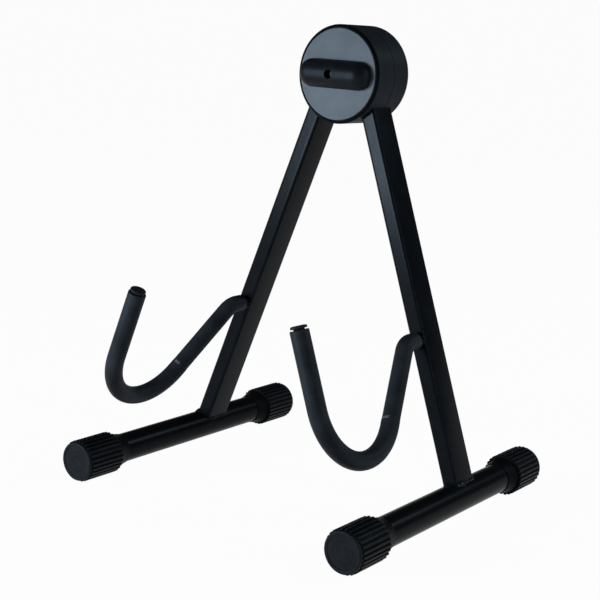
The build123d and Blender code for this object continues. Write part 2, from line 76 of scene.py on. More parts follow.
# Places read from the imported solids
HINGE = Vector(next(joint["pos_m"] for joint in frame["joints"] if joint["name"] == "fold"))
tube_low, tube_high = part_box("right_base_tube")
cap_low, cap_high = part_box("right_rear_foot_cap")
BASE_HALF_SPACING = (tube_low.x + tube_high.x) / 2
TUBE_RADIUS = (tube_high.x - tube_low.x) / 2
TUBE_HEIGHT = (tube_low.z + tube_high.z) / 2
TUBE_HALF_LENGTH = (tube_high.y - tube_low.y) / 2
CAP_FACE = cap_high.y
CAP_RADIUS = (cap_high.x - cap_low.x) / 2
knob_low, knob_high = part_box("lock_knob")
KNOB_RADIUS = (knob_high.x - knob_low.x) / 2
KNOB_BACK = HINGE.y - knob_high.y
BAR_FRONT = HINGE.y - knob_low.y
RIM_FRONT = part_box("front_housing")[0].y


def length(name, description, default):
    """Property for a size of the stand, in metres."""
    return FloatProperty(name=name, description=description, default=default, unit="LENGTH", precision=5)


def shade(name, description, default):
    """Property for a colour of a finish, in linear values."""
    return FloatVectorProperty(
        name=name, description=description, default=default, subtype="COLOR", size=3, min=0.0, max=1.0
    )


class StandSizes(bpy.types.PropertyGroup):
    """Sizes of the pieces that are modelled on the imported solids."""

    tube_radius: length("Base tube radius", "Outer radius of a base tube", TUBE_RADIUS)
    tube_wall: length("Base tube wall", "Wall of a base tube", 1.5 * MM)
    cap_radius: length("Cap radius", "Radius over the ribs of a foot cap", CAP_RADIUS)
    cap_ribbed: length("Ribbed length", "End face of a cap to the end of its ribs", 36.0 * MM)
    cap_skirt: length("Skirt length", "Smooth cone of a cap, from the ribs to its mouth", 12.0 * MM)
    cap_skirt_wall: length("Skirt wall", "Wall of the cone beside the ribs", 2.6 * MM)
    cap_lip_wall: length("Lip wall", "Wall of the cone at the mouth", 0.6 * MM)
    cap_rib_height: length("Rib height", "Height of the ribs over the grooves between them", 1.0 * MM)
    cap_plain_rim: length("Plain rim", "Smooth band between the end face and the ribs", 2.6 * MM)
    cap_ribs: IntProperty(name="Ribs", description="Number of ribs round a cap", default=28, min=8)
    leg_spread: FloatProperty(
        name="Leg spread",
        description="Angle of a leg from upright when open",
        default=radians(20.0),
        subtype="ANGLE",
    )
    leg_width: length("Leg width", "Leg tube across its narrow face", 12.7 * MM)
    leg_depth: length("Leg depth", "Leg tube front to rear", 25.4 * MM)
    leg_corner: length("Leg corner", "Outer corner radius of a leg tube", 2.0 * MM)
    leg_wall: length("Leg wall", "Wall of a leg tube", 1.5 * MM)
    leg_top: length("Leg top", "Leg's top end past the hinge axis", 10.0 * MM)
    leg_bead: length("Leg bead", "Size of the weld bead at a leg's foot", 1.5 * MM)
    rod_radius: length("Rod radius", "Radius of a cradle's bent rod", 4.0 * MM)
    rod_bead: length("Rod bead", "Size of the weld bead at a rod's root", 2.3 * MM)
    sleeve_radius: length("Sleeve radius", "Outer radius of a cradle's sleeve", 6.7 * MM)
    sleeve_bore: length("Sleeve bore", "Inner radius of a cradle's sleeve", 4.1 * MM)
    sleeve_start: length("Sleeve start", "Leg face to the sleeve's first end", 3.5 * MM)
    cradle_root: length("Cradle root", "Height of the rod's root up the leg", 123.0 * MM)
    cradle_stub: length("Cradle stub", "Leg face to the corner of the first bend", 17.0 * MM)
    cradle_reach: length("Cradle reach", "Leg face to the rising limb", 139.0 * MM)
    cradle_bowl: length("Cradle bowl", "Height of the lowest point up the leg", 52.4 * MM)
    cradle_tip: length("Cradle tip", "Height of the sleeve's upper end up the leg", 152.0 * MM)
    stub_bend: length("Stub bend", "Centreline radius of the first bend", 14.0 * MM)
    bowl_bend: length("Bowl bend", "Centreline radius of the bowl", 44.3 * MM)
    rod_standout: length("Rod standout", "Rod end past the sleeve", 0.9 * MM)
    plug_radius: length("Plug radius", "Radius of an end plug's disc", 6.0 * MM)
    plug_thickness: length("Plug thickness", "Thickness of an end plug's disc", 2.2 * MM)
    knob_radius: length("Knob radius", "Radius of the knob's disc", KNOB_RADIUS)
    flange_depth: length("Flange depth", "Depth of the recess for the spindle's flange", 3.1 * MM)
    flange_radius: length("Flange radius", "Radius of the recess for the spindle's flange", 9.0 * MM)
    bar_length: length("Bar length", "Length of the grip bar", 62.6 * MM)
    bar_width: length("Bar width", "Width of the grip bar", 21.6 * MM)
    bar_height: length("Bar height", "Height of the grip bar over the disc", 12.8 * MM)
    bar_crest: length("Bar crest", "Width of the flat on top of the bar", 1.6 * MM)
    bar_hole: length("Bar hole", "Radius of the hole in the bar", 3.5 * MM)
    bar_hole_depth: length("Bar hole depth", "Bar's top to the seat of its screw", 7.4 * MM)


class StandFinishes(bpy.types.PropertyGroup):
    """Colours of the finishes."""

    leg_coat: shade("Leg coat", "Satin coat on the legs, rods and welds", (0.0050, 0.0060, 0.0074))
    base_enamel: shade("Base enamel", "Gloss enamel on the base tubes", (0.0032, 0.0038, 0.0046))
    cap_rubber: shade("Cap rubber", "Moulded rubber of the foot caps", (0.0072, 0.0082, 0.0098))
    # Painted shade: darker rubber for the grooves and skirts of the foot caps, where shade falls
    cap_groove_shade: shade("Cap grooves", "Rubber beside the ribs, darker as painted shade", (0.0026, 0.0030, 0.0036))
    sleeve_rubber: shade("Sleeve rubber", "Rubber tube on the cradles", (0.0168, 0.0193, 0.0226))
    # Painted highlight: pale rubber on the lit side of a sleeve's crease
    sleeve_crease_highlight: shade("Sleeve crease highlight", "Pale paint on a sleeve's crease as a painted highlight", (0.0940, 0.1020, 0.1120))
    plug_plastic: shade("Plug plastic", "Plastic of the end plugs", (0.0160, 0.0172, 0.0192))
    knob_disc: shade("Knob disc", "Satin charcoal plastic of the knob's disc", (0.1110, 0.1270, 0.1410))
    knob_grip: shade("Knob grip", "Darker plastic of the grip bar", (0.0056, 0.0068, 0.0084))
    housing: shade("Housing", "Fine textured plastic of the housing", (0.0170, 0.0200, 0.0236))
    zinc: shade("Zinc", "Bright zinc plate on the hinge's steel", (0.62, 0.62, 0.60))
    black_screw: shade("Black screws", "Black oxide on the screws", (0.020, 0.020, 0.022))
    nylon: shade("Nylon", "Natural nylon of the friction washers", (0.78, 0.76, 0.70))


class StandStage(bpy.types.PropertyGroup):
    """Camera, floor and light."""

    eye: FloatVectorProperty(
        name="Eye",
        description="Place of the camera",
        default=(0.5865, -0.8257, 0.3610),
        subtype="XYZ",
        size=3,
    )
    turn: FloatProperty(
        name="Turn",
        description="Camera's way round from the front",
        default=radians(36.12),
        subtype="ANGLE",
    )
    dip: FloatProperty(
        name="Dip", description="Camera's look down from level", default=radians(11.80), subtype="ANGLE"
    )
    roll: FloatProperty(name="Roll", description="Camera's roll", default=radians(3.55), subtype="ANGLE")
    lens: FloatProperty(name="Lens", description="Focal length in millimetres", default=79.36)
    floor: shade("Floor", "Pale paper of the floor and sweep", (0.82, 0.82, 0.82))
    floor_white: FloatProperty(
        name="Floor white",
        description="Share of plain white in what the camera sees of the floor",
        default=0.97,
        subtype="FACTOR",
        min=0.0,
        max=1.0,
    )
    lamps: shade("Lamps", "Cool light of the lamps", (0.78, 0.89, 1.0))
    air: shade("Air", "Even light from all round", (0.95, 0.98, 1.0))
    air_level: FloatProperty(name="Air level", description="Strength of the even light", default=0.05)


# Mesh helpers

def of_kind(found, kind):
    """Items of one kind from an operator's result."""
    return [item for item in found if isinstance(item, kind)]


def turned(bm, profile, centre, axis, steps, closed=False):
    """Turn a profile of (radius, distance along the axis) points once round an axis across X."""
    middle = Vector(centre)
    across = Vector((1, 0, 0))
    along = Vector(axis)
    points = [bm.verts.new(middle + across * radius + along * reach) for radius, reach in profile]
    lines = [bm.edges.new(pair) for pair in zip(points, points[1:])]
    if closed:
        lines.append(bm.edges.new((points[-1], points[0])))
    bmesh.ops.spin(
        bm,
        geom=points + lines,
        cent=centre,
        axis=axis,
        dvec=(0, 0, 0),
        angle=2 * pi,
        steps=steps,
        use_merge=True,
    )
    bmesh.ops.remove_doubles(bm, verts=bm.verts, dist=MERGE_DISTANCE)


def rounding(radius, reach, across, along, steps=3):
    """Quarter-round edge of a turned profile, from the flat at its end to its side."""
    turns = [step * pi / 2 / steps for step in range(steps + 1)]
    return [(radius - across * (1 - sin(turn)), reach + along * (1 - cos(turn))) for turn in turns]


def bevelled(bm, chosen, offset, segments, affect="EDGES"):
    """Round chosen edges or corners over."""
    bmesh.ops.bevel(
        bm,
        geom=chosen,
        offset=offset,
        offset_type="OFFSET",
        segments=segments,
        profile=0.5,
        affect=affect,
        material=-1,
    )


def rounded_plate(bm, width, depth, corner, segments):
    """Flat face with round corners, centred on the origin."""
    bmesh.ops.create_grid(bm, x_segments=1, y_segments=1, size=0.5)
    bmesh.ops.scale(bm, vec=(width, depth, 1), verts=bm.verts)
    bevelled(bm, bm.verts[:], corner, segments, affect="VERTICES")
    bmesh.ops.remove_doubles(bm, verts=bm.verts, dist=MERGE_DISTANCE)


def raised(bm, faces, offset):
    """Extrude faces by an offset and return the new ones."""
    grown = bmesh.ops.extrude_face_region(bm, geom=faces)["geom"]
    bmesh.ops.translate(bm, vec=offset, verts=of_kind(grown, bmesh.types.BMVert))
    return of_kind(grown, bmesh.types.BMFace)


def swung(bm, faces, centre, angle, steps):
    """Spin faces about a point in the cradle's plane and return the last ones."""
    turn = bmesh.ops.spin(
        bm,
        geom=faces,
        cent=centre,
        axis=(0, 0, 1),
        dvec=(0, 0, 0),
        angle=angle,
        steps=steps,
        use_merge=False,
    )
    return of_kind(turn["geom_last"], bmesh.types.BMFace)


def placed(name, data):
    """New object in the scene, at the origin."""
    obj = bpy.data.objects.new(name, data)
    bpy.context.scene.collection.objects.link(obj)
    return obj


def drilled(blank, drill):
    """Cut one closed shape out of another and return what is left."""
    pair = []
    for shape in (blank, drill):
        bmesh.ops.recalc_face_normals(shape, faces=shape.faces)
        mesh = bpy.data.meshes.new("blank")
        shape.to_mesh(mesh)
        shape.free()
        pair.append(placed("blank", mesh))
    cut = pair[0].modifiers.new("cut", "BOOLEAN")
    cut.operation = "DIFFERENCE"
    cut.object = pair[1]
    result = bmesh.new()
    result.from_object(pair[0], bpy.context.evaluated_depsgraph_get())
    for obj in pair:
        mesh = obj.data
        bpy.data.objects.remove(obj)
        bpy.data.meshes.remove(mesh)
    return result


def wrapped(bm, around, across, place):
    """Bend a flat grid into a closed bead; place maps two parameters from 0 to 1 to a point."""
    bmesh.ops.create_grid(bm, x_segments=around, y_segments=across, size=0.5)
    for vert in bm.verts:
        vert.co = place(vert.co.x + 0.5, vert.co.y + 0.5)
    bmesh.ops.remove_doubles(bm, verts=bm.verts, dist=MERGE_DISTANCE)


def finished(name, bm, body, node, materials, crease=32.0):
    """Make a piece of a bmesh; it rides on a body and stands for a node's solid."""
    bmesh.ops.remove_doubles(bm, verts=bm.verts, dist=MERGE_DISTANCE)
    bmesh.ops.recalc_face_normals(bm, faces=bm.faces)
    mesh = bpy.data.meshes.new(name)
    bm.to_mesh(mesh)
    bm.free()
    mesh.shade_smooth()
    mesh.set_sharp_from_angle(angle=radians(crease))
    for material in materials:
        mesh.materials.append(material)
    obj = placed(name, mesh)
    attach(obj, body)
    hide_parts(node)


# Places on the stand

def foot_centre(side):
    """Point on a base tube's axis where its leg's centreline meets it."""
    return Vector((side * BASE_HALF_SPACING, HINGE.y, TUBE_HEIGHT))


def leg_matrix(side, sizes):
    """Frame of a leg: X outwards, Z up the leg, from the base tube's centre."""
    spread = sizes.leg_spread
    outwards = Vector((side * cos(spread), 0, sin(spread)))
    up = Vector((-side * sin(spread), 0, cos(spread)))
    matrix = Matrix((outwards, up.cross(outwards), up)).transposed().to_4x4()
    matrix.translation = foot_centre(side)
    return matrix


def leg_to_hinge(sizes):
    """Distance up a leg from the base tube's centre to the hinge axis."""
    rise = HINGE.z - TUBE_HEIGHT
    return BASE_HALF_SPACING * sin(sizes.leg_spread) + rise * cos(sizes.leg_spread)


def leg_outline(share, sizes):
    """Centre of curvature and outward direction on a leg's outline, a share of the way round it."""
    half_width = sizes.leg_width / 2 - sizes.leg_corner
    half_depth = sizes.leg_depth / 2 - sizes.leg_corner
    arc = sizes.leg_corner * pi / 2
    left = (share % 1.0) * 4 * (half_width + half_depth + arc)
    spot = Vector((half_width, -half_depth))
    for quarter in range(4):
        turn = quarter * pi / 2
        ahead = Vector((-sin(turn), cos(turn)))
        run = 2 * (half_width if quarter % 2 else half_depth)
        if left <= run:
            return spot + ahead * left, Vector((cos(turn), sin(turn)))
        spot = spot + ahead * run
        left -= run
        if left <= arc:
            turn += left / sizes.leg_corner
            return spot, Vector((cos(turn), sin(turn)))
        left -= arc
    return spot, Vector((1, 0))


def cradle_matrix(side, sizes):
    """Frame of a cradle: X forwards, Y up the leg, from the base tube's centre."""
    spread = sizes.leg_spread
    forwards = Vector((0, -1, 0))
    up = Vector((-side * sin(spread), 0, cos(spread)))
    matrix = Matrix((forwards, up, forwards.cross(up))).transposed().to_4x4()
    matrix.translation = foot_centre(side)
    return matrix


def toe_to_toe(across):
    """Section of a weld bead: over its swollen face from toe to toe, then back through its root."""
    face = 0.75
    flatness = 1.4
    reach = round(across, 6) % 1.0 / face
    if reach > 1.0:
        return 1.0 - (reach - 1.0) * face / (1.0 - face), 0.0
    return sin(reach * pi / 2) ** flatness, cos(reach * pi / 2) ** flatness


def saddle(across, radius):
    """Height of a base tube's surface over its axis, at a distance across it."""
    return sqrt(max(radius * radius - across * across, 0.0))


# Materials

class Surface:
    """A material with its shader and the Object coordinates that its patterns follow."""

    def __init__(self, name):
        self.material = bpy.data.materials.new(name)
        self.material.use_nodes = True
        self.tree = self.material.node_tree
        self.shader = self.tree.nodes["Principled BSDF"]
        self.place = self.tree.nodes.new("ShaderNodeTexCoord").outputs["Object"]

    def grain(self, scale, detail=2.0):
        """Noise with so many features to the metre."""
        noise = self.tree.nodes.new("ShaderNodeTexNoise")
        noise.inputs["Scale"].default_value = scale
        noise.inputs["Detail"].default_value = detail
        self.tree.links.new(self.place, noise.inputs["Vector"])
        return noise.outputs["Fac"]

    def pits(self, scale):
        """Rounded cells with so many to the metre."""
        cells = self.tree.nodes.new("ShaderNodeTexVoronoi")
        cells.feature = "SMOOTH_F1"
        cells.inputs["Scale"].default_value = scale
        self.tree.links.new(self.place, cells.inputs["Vector"])
        return cells.outputs["Distance"]

    def spread(self, value, low, high):
        """Map a noise onto a range of values."""
        node = self.tree.nodes.new("ShaderNodeMapRange")
        node.inputs["From Min"].default_value = NOISE_LOW
        node.inputs["From Max"].default_value = NOISE_HIGH
        node.inputs["To Min"].default_value = low
        node.inputs["To Max"].default_value = high
        self.tree.links.new(value, node.inputs["Value"])
        return node.outputs["Result"]

    def tint(self, value, colour, darker, lighter):
        """Vary a colour between two shares of itself."""
        ramp = self.tree.nodes.new("ShaderNodeValToRGB")
        low, high = ramp.color_ramp.elements
        low.position = NOISE_LOW
        high.position = NOISE_HIGH
        low.color = [channel * darker for channel in colour] + [1.0]
        high.color = [min(channel * lighter, 1.0) for channel in colour] + [1.0]
        self.tree.links.new(value, ramp.inputs["Fac"])
        self.tree.links.new(ramp.outputs["Color"], self.shader.inputs["Base Color"])

    def paint_shade_ahead(self, front, blend, share):
        """Paint shade: darken the colour to a share of itself ahead of a plane across the Y axis."""
        split = self.tree.nodes.new("ShaderNodeSeparateXYZ")
        self.tree.links.new(self.place, split.inputs["Vector"])
        step = self.tree.nodes.new("ShaderNodeMapRange")
        step.inputs["From Min"].default_value = front - blend
        step.inputs["From Max"].default_value = front + blend
        step.inputs["To Min"].default_value = share
        step.inputs["To Max"].default_value = 1.0
        self.tree.links.new(split.outputs["Y"], step.inputs["Value"])
        dimmed = self.tree.nodes.new("ShaderNodeVectorMath")
        dimmed.operation = "SCALE"
        colour = self.shader.inputs["Base Color"]
        self.tree.links.new(colour.links[0].from_socket, dimmed.inputs[0])
        self.tree.links.new(step.outputs["Result"], dimmed.inputs["Scale"])
        self.tree.links.new(dimmed.outputs["Vector"], colour)

    def rough(self, value, low, high):
        """Vary the roughness."""
        self.tree.links.new(self.spread(value, low, high), self.shader.inputs["Roughness"])

    def relief(self, value, strength, distance):
        """Add a bump over any bump that is there already."""
        bump = self.tree.nodes.new("ShaderNodeBump")
        bump.inputs["Strength"].default_value = strength
        bump.inputs["Distance"].default_value = distance
        self.tree.links.new(value, bump.inputs["Height"])
        normal = self.shader.inputs["Normal"]
        if normal.is_linked:
            self.tree.links.new(normal.links[0].from_socket, bump.inputs["Normal"])
        self.tree.links.new(bump.outputs["Normal"], normal)

    def gloss(self, level):
        """Strength of the mirror-like part, the same all over and a little blue."""
        self.shader.inputs["Specular IOR Level"].default_value = level
        self.shader.inputs["Specular Tint"].default_value = GLOSS_TINT


def powder_coat(colour):
    """Satin black powder coat with a fine orange peel."""
    coat = Surface("leg_powder_coat")
    coat.tint(coat.grain(60, detail=3), colour, darker=0.85, lighter=1.2)
    coat.rough(coat.grain(25), low=0.18, high=0.23)
    coat.relief(coat.grain(1500), strength=0.10, distance=0.10 * MM)
    coat.relief(coat.grain(300), strength=0.08, distance=0.15 * MM)
    coat.gloss(0.040)
    return coat.material


def enamel(colour):
    """Gloss black enamel with a slow ripple."""
    paint = Surface("base_gloss_enamel")
    paint.tint(paint.grain(40, detail=3), colour, darker=0.85, lighter=1.2)
    paint.rough(paint.grain(30, detail=3), low=0.27, high=0.33)
    paint.relief(paint.grain(260, detail=1), strength=0.06, distance=0.15 * MM)
    paint.relief(paint.grain(900), strength=0.04, distance=0.05 * MM)
    paint.gloss(0.036)
    return paint.material


def foot_rubber(name, colour, gloss):
    """Moulded rubber with a dull bloom."""
    rubber = Surface(name)
    rubber.tint(rubber.grain(120, detail=4), colour, darker=0.75, lighter=1.35)
    rubber.rough(rubber.grain(200, detail=3), low=0.42, high=0.54)
    rubber.relief(rubber.grain(2600, detail=3), strength=0.18, distance=0.08 * MM)
    rubber.relief(rubber.grain(350), strength=0.06, distance=0.2 * MM)
    rubber.gloss(gloss)
    return rubber.material


def tube_rubber(colour):
    """Soft rubber tube with a slightly uneven skin."""
    rubber = Surface("sleeve_rubber")
    rubber.tint(rubber.grain(45, detail=4), colour, darker=0.6, lighter=1.4)
    rubber.rough(rubber.grain(90, detail=3), low=0.45, high=0.55)
    rubber.relief(rubber.grain(1800, detail=3), strength=0.12, distance=0.08 * MM)
    rubber.relief(rubber.grain(110), strength=0.10, distance=0.4 * MM)
    rubber.gloss(0.05)
    return rubber.material


def crease_highlight_rubber(colour):
    """Pale rubber along a crease, a painted highlight."""
    rubber = Surface("sleeve_crease_highlight")
    rubber.tint(rubber.grain(600, detail=3), colour, darker=0.35, lighter=1.5)
    rubber.rough(rubber.grain(300), low=0.45, high=0.55)
    rubber.relief(rubber.grain(1800, detail=3), strength=0.12, distance=0.08 * MM)
    rubber.gloss(0.08)
    return rubber.material


def textured(name, colour, roughest, gloss, texture=2400):
    """Surface of moulded plastic with a fine spark-eroded texture."""
    plastic = Surface(name)
    plastic.tint(plastic.grain(45, detail=4), colour, darker=0.9, lighter=1.12)
    plastic.rough(plastic.grain(150, detail=3), low=roughest - 0.08, high=roughest)
    plastic.relief(plastic.pits(texture), strength=0.12, distance=0.06 * MM)
    plastic.relief(plastic.grain(160), strength=0.04, distance=0.2 * MM)
    plastic.gloss(gloss)
    return plastic


def housing_plastic(colour):
    """Plastic of the head, with painted shade on the rim and bevel round the knob."""
    bevel = 1.5 * MM
    plastic = textured("housing_plastic", colour, roughest=0.50, gloss=0.02)
    # Painted shade: the rim and bevel in front of this plane are darkened to 15% of the plastic's colour.
    plastic.paint_shade_ahead(RIM_FRONT + bevel, blend=0.2 * MM, share=0.15)
    return plastic.material


def zinc_plate(colour):
    """Bright zinc plate with a faint grain and patches."""
    zinc = Surface("zinc_plate")
    zinc.shader.inputs["Metallic"].default_value = 1.0
    zinc.tint(zinc.grain(220, detail=4), colour, darker=0.75, lighter=1.05)
    zinc.rough(zinc.grain(500, detail=3), low=0.28, high=0.42)
    zinc.relief(zinc.grain(1900), strength=0.06, distance=0.05 * MM)
    return zinc.material


def black_oxide(colour):
    """Black oxide on steel, a little blotchy."""
    oxide = Surface("black_oxide")
    oxide.tint(oxide.grain(400, detail=3), colour, darker=0.7, lighter=1.3)
    oxide.rough(oxide.grain(700), low=0.45, high=0.60)
    oxide.relief(oxide.grain(1700), strength=0.06, distance=0.05 * MM)
    oxide.gloss(0.3)
    return oxide.material


def nylon(colour):
    """Natural nylon, a little cloudy."""
    plastic = Surface("washer_nylon")
    plastic.tint(plastic.grain(300, detail=3), colour, darker=0.92, lighter=1.04)
    plastic.rough(plastic.grain(400), low=0.42, high=0.52)
    plastic.relief(plastic.grain(1500), strength=0.06, distance=0.05 * MM)
    return plastic.material


# One operator for each piece or group of like pieces

class StandBaseTubes(bpy.types.Operator):
    """Model the two round base tubes"""

    bl_idname = "stand.base_tubes"
    bl_label = "Base Tubes"

    def execute(self, context):
        sizes = context.scene.stand_sizes
        paint = enamel(context.scene.stand_finishes.base_enamel)
        outer = sizes.tube_radius
        inner = outer - sizes.tube_wall
        wall = [
            (outer, -TUBE_HALF_LENGTH),
            (outer, TUBE_HALF_LENGTH),
            (inner, TUBE_HALF_LENGTH),
            (inner, -TUBE_HALF_LENGTH),
        ]
        for name, side in SIDES:
            bm = bmesh.new()
            centre = (side * BASE_HALF_SPACING, 0, TUBE_HEIGHT)
            turned(bm, wall, centre, axis=(0, 1, 0), steps=128, closed=True)
            node = f"{name}_base_tube"
            finished(f"{node}_enamelled", bm, f"{name}_frame", node, [paint])
        return {"FINISHED"}


class StandFootCaps(bpy.types.Operator):
    """Model the four ribbed rubber foot caps"""

    bl_idname = "stand.foot_caps"
    bl_label = "Foot Caps"
    STEPS_PER_RIB = 12
    STEPS_TO_RIB_EDGE = 3

    def execute(self, context):
        sizes = context.scene.stand_sizes
        finishes = context.scene.stand_finishes
        rubbers = [
            foot_rubber("foot_rubber", finishes.cap_rubber, gloss=0.07),
            # The second rubber is painted shade for the grooves and skirts
            foot_rubber("foot_rubber_painted_shade", finishes.cap_groove_shade, gloss=0.03),
        ]
        for name, side in SIDES:
            for end_name, end in ENDS:
                bm = bmesh.new()
                centre = Vector((side * BASE_HALF_SPACING, end * CAP_FACE, TUBE_HEIGHT))
                steps = sizes.cap_ribs * self.STEPS_PER_RIB
                turned(bm, self.profile(sizes), centre, axis=(0, -end, 0), steps=steps)
                self.groove(bm, centre, sizes)
                self.shade_grooves(bm, centre, end, sizes)
                node = f"{name}_{end_name}_foot_cap"
                finished(f"{node}_ribbed", bm, f"{name}_frame", node, rubbers, crease=28.0)
        return {"FINISHED"}

    def profile(self, sizes):
        """Outline of a cap as if its ribs went all round, from its end face back to its bore."""
        crest = sizes.cap_radius
        floor = crest - sizes.cap_rib_height
        clearance = 0.05 * MM
        bore = sizes.tube_radius + clearance
        skirt = bore + sizes.cap_skirt_wall
        lip = bore + sizes.cap_lip_wall
        ribs_start = sizes.cap_plain_rim
        ribs_end = sizes.cap_ribbed
        mouth = ribs_end + sizes.cap_skirt
        end_wall = 4.0 * MM
        dish = 0.5 * MM
        dish_radius = floor - 3.0 * MM
        shoulder = 0.35 * MM
        shoulder_drop = 0.1 * MM
        flat_start = dish_radius + 0.6 * MM
        ring_marks = (4.2 * MM, 8.2 * MM)
        mark = 0.12 * MM
        edge = 1.1 * MM
        soft = 0.2 * MM
        rib_soft = 0.3 * MM
        slant = 0.05 * MM
        outline = [(0, dish)]
        for ring in ring_marks:
            outline += [(ring - mark, dish), (ring, dish + mark), (ring + mark, dish)]
        return outline + [
            (dish_radius, dish),
            (dish_radius + shoulder, shoulder_drop),
            (flat_start, 0),
            *rounding(floor, 0, edge, edge),
            (floor, ribs_start - slant),
            (crest - soft, ribs_start),
            (crest, ribs_start + rib_soft),
            (crest, ribs_end - rib_soft),
            (crest - soft, ribs_end),
            (floor, ribs_end + slant),
            (skirt + soft, ribs_end + 2 * slant),
            (skirt, ribs_end + 2 * soft),
            (lip, mouth - soft - slant),
            (lip - soft, mouth),
            (bore, mouth),
            (bore, end_wall),
            (0, end_wall),
        ]

    def groove(self, bm, centre, sizes):
        """Sink the grooves between a cap's ribs and flatten its foot on the ground."""
        floor = sizes.cap_radius - sizes.cap_rib_height
        rib_edge_drop = 0.15 * MM
        step_angle = 2 * pi / (sizes.cap_ribs * self.STEPS_PER_RIB)
        for vert in bm.verts:
            from_axis = Vector((vert.co.x - centre.x, 0, vert.co.z - centre.z))
            if from_axis.length > floor + MERGE_DISTANCE:
                step = round(atan2(from_axis.z, from_axis.x) / step_angle) % self.STEPS_PER_RIB
                from_crest = min(step, self.STEPS_PER_RIB - step)
                if from_crest > self.STEPS_TO_RIB_EDGE:
                    from_axis.length = floor
                elif from_crest == self.STEPS_TO_RIB_EDGE:
                    from_axis.length -= rib_edge_drop
                vert.co.x = centre.x + from_axis.x
                vert.co.z = centre.z + from_axis.z
            vert.co.z = max(vert.co.z, 0.0)

    def shade_grooves(self, bm, centre, end, sizes):
        """Paint shade on what lies lower than the crests of the ribs, behind the plain rim: the grooves
        and the skirt get the darker rubber.
        """
        below_crest = sizes.cap_radius - 0.3 * MM
        for piece in bm.faces:
            out = piece.calc_center_median() - centre
            behind_rim = -end * out.y > sizes.cap_plain_rim
            if behind_rim and hypot(out.x, out.z) < below_crest:
                piece.material_index = 1


class StandLegs(bpy.types.Operator):
    """Model the two flat leg tubes, saddled to the base tubes"""

    bl_idname = "stand.legs"
    bl_label = "Legs"

    def execute(self, context):
        sizes = context.scene.stand_sizes
        coat = powder_coat(context.scene.stand_finishes.leg_coat)
        hollow = 60.0 * MM
        for name, side in SIDES:
            bm = bmesh.new()
            rounded_plate(bm, sizes.leg_width, sizes.leg_depth, sizes.leg_corner, segments=8)
            ends = [
                edge
                for edge in bm.edges
                if abs(edge.verts[0].co.y - edge.verts[1].co.y) < MERGE_DISTANCE
            ]
            bmesh.ops.subdivide_edges(bm, edges=ends, cuts=7)
            foot = bm.verts[:]
            top = raised(bm, bm.faces[:], (0, 0, leg_to_hinge(sizes) + sizes.leg_top))
            for vert in foot:
                vert.co.z = saddle(vert.co.x, sizes.tube_radius)
            bmesh.ops.inset_region(bm, faces=top, thickness=sizes.leg_wall, use_even_offset=True)
            raised(bm, top, (0, 0, -hollow))
            bm.transform(leg_matrix(side, sizes))
            node = f"{name}_leg_tube"
            finished(f"{node}_coated", bm, f"{name}_frame", node, [coat], crease=40.0)
            frame["nodes"][f"{name}_cradle_rod"].data.materials[0] = coat
        return {"FINISHED"}


class StandLegWelds(bpy.types.Operator):
    """Model the rippled weld beads where the legs stand on the base tubes"""

    bl_idname = "stand.leg_welds"
    bl_label = "Leg Welds"

    def execute(self, context):
        sizes = context.scene.stand_sizes
        coat = bpy.data.materials["leg_powder_coat"]
        for name, side in SIDES:
            bm = bmesh.new()
            bead = partial(self.bead, sizes, side)
            wrapped(bm, around=300, across=14, place=bead)
            bm.transform(leg_matrix(side, sizes))
            node = f"{name}_leg_weld"
            finished(f"{node}_bead", bm, f"{name}_frame", node, [coat], crease=60.0)
        return {"FINISHED"}

    def bead(self, sizes, side, share, across):
        """Point on a bead that follows the leg's outline and rests on the round of the base tube."""
        core, out = leg_outline(share, sizes)
        turn = 2 * pi * share
        lump_place = 0.31 if side < 0 else 0.07
        ripple = abs(sin(15 * turn + 0.7 * sin(5 * turn + side)))
        drift = sin(3 * turn + 2 * side) + 0.7 * sin(7 * turn + 1.3)
        lump = exp(-(((share - lump_place) / 0.05) ** 2))
        size = sizes.leg_bead * (0.8 + 0.25 * ripple + 0.16 * drift + 1.1 * lump)
        outward, upward = toe_to_toe(across)
        point = core + out * (sizes.leg_corner - WELD_BITE + size * outward)
        height = saddle(point.x, sizes.tube_radius - WELD_BITE) + size * upward
        return Vector((point.x, point.y, height))


class StandCradleWelds(bpy.types.Operator):
    """Model the weld beads round the roots of the cradle rods"""

    bl_idname = "stand.cradle_welds"
    bl_label = "Cradle Welds"

    def execute(self, context):
        sizes = context.scene.stand_sizes
        coat = bpy.data.materials["leg_powder_coat"]
        for name, side in SIDES:
            bm = bmesh.new()
            bead = partial(self.bead, sizes, side)
            wrapped(bm, around=136, across=16, place=bead)
            bmesh.ops.translate(bm, vec=(0, sizes.cradle_root, 0), verts=bm.verts)
            bm.transform(cradle_matrix(side, sizes))
            node = f"{name}_cradle_weld"
            finished(f"{node}_bead", bm, f"{name}_frame", node, [coat], crease=60.0)
        return {"FINISHED"}

    def bead(self, sizes, side, share, across):
        """Point on a bead that goes round the rod and rests on the leg's front face."""
        turn = 2 * pi * share
        lump_place = 0.46
        ripple = abs(sin(5.5 * turn + 0.5 * sin(2 * turn)))
        drift = sin(2 * turn + side)
        lump = exp(-(((share - lump_place) / 0.09) ** 2))
        size = sizes.rod_bead * (0.78 + 0.2 * ripple + 0.1 * drift + 0.3 * lump)
        outward, forward = toe_to_toe(across)
        radius = sizes.rod_radius - WELD_BITE + size * outward
        ahead = sizes.leg_depth / 2 - WELD_BITE + size * forward
        return Vector((ahead, radius * sin(turn), radius * cos(turn)))


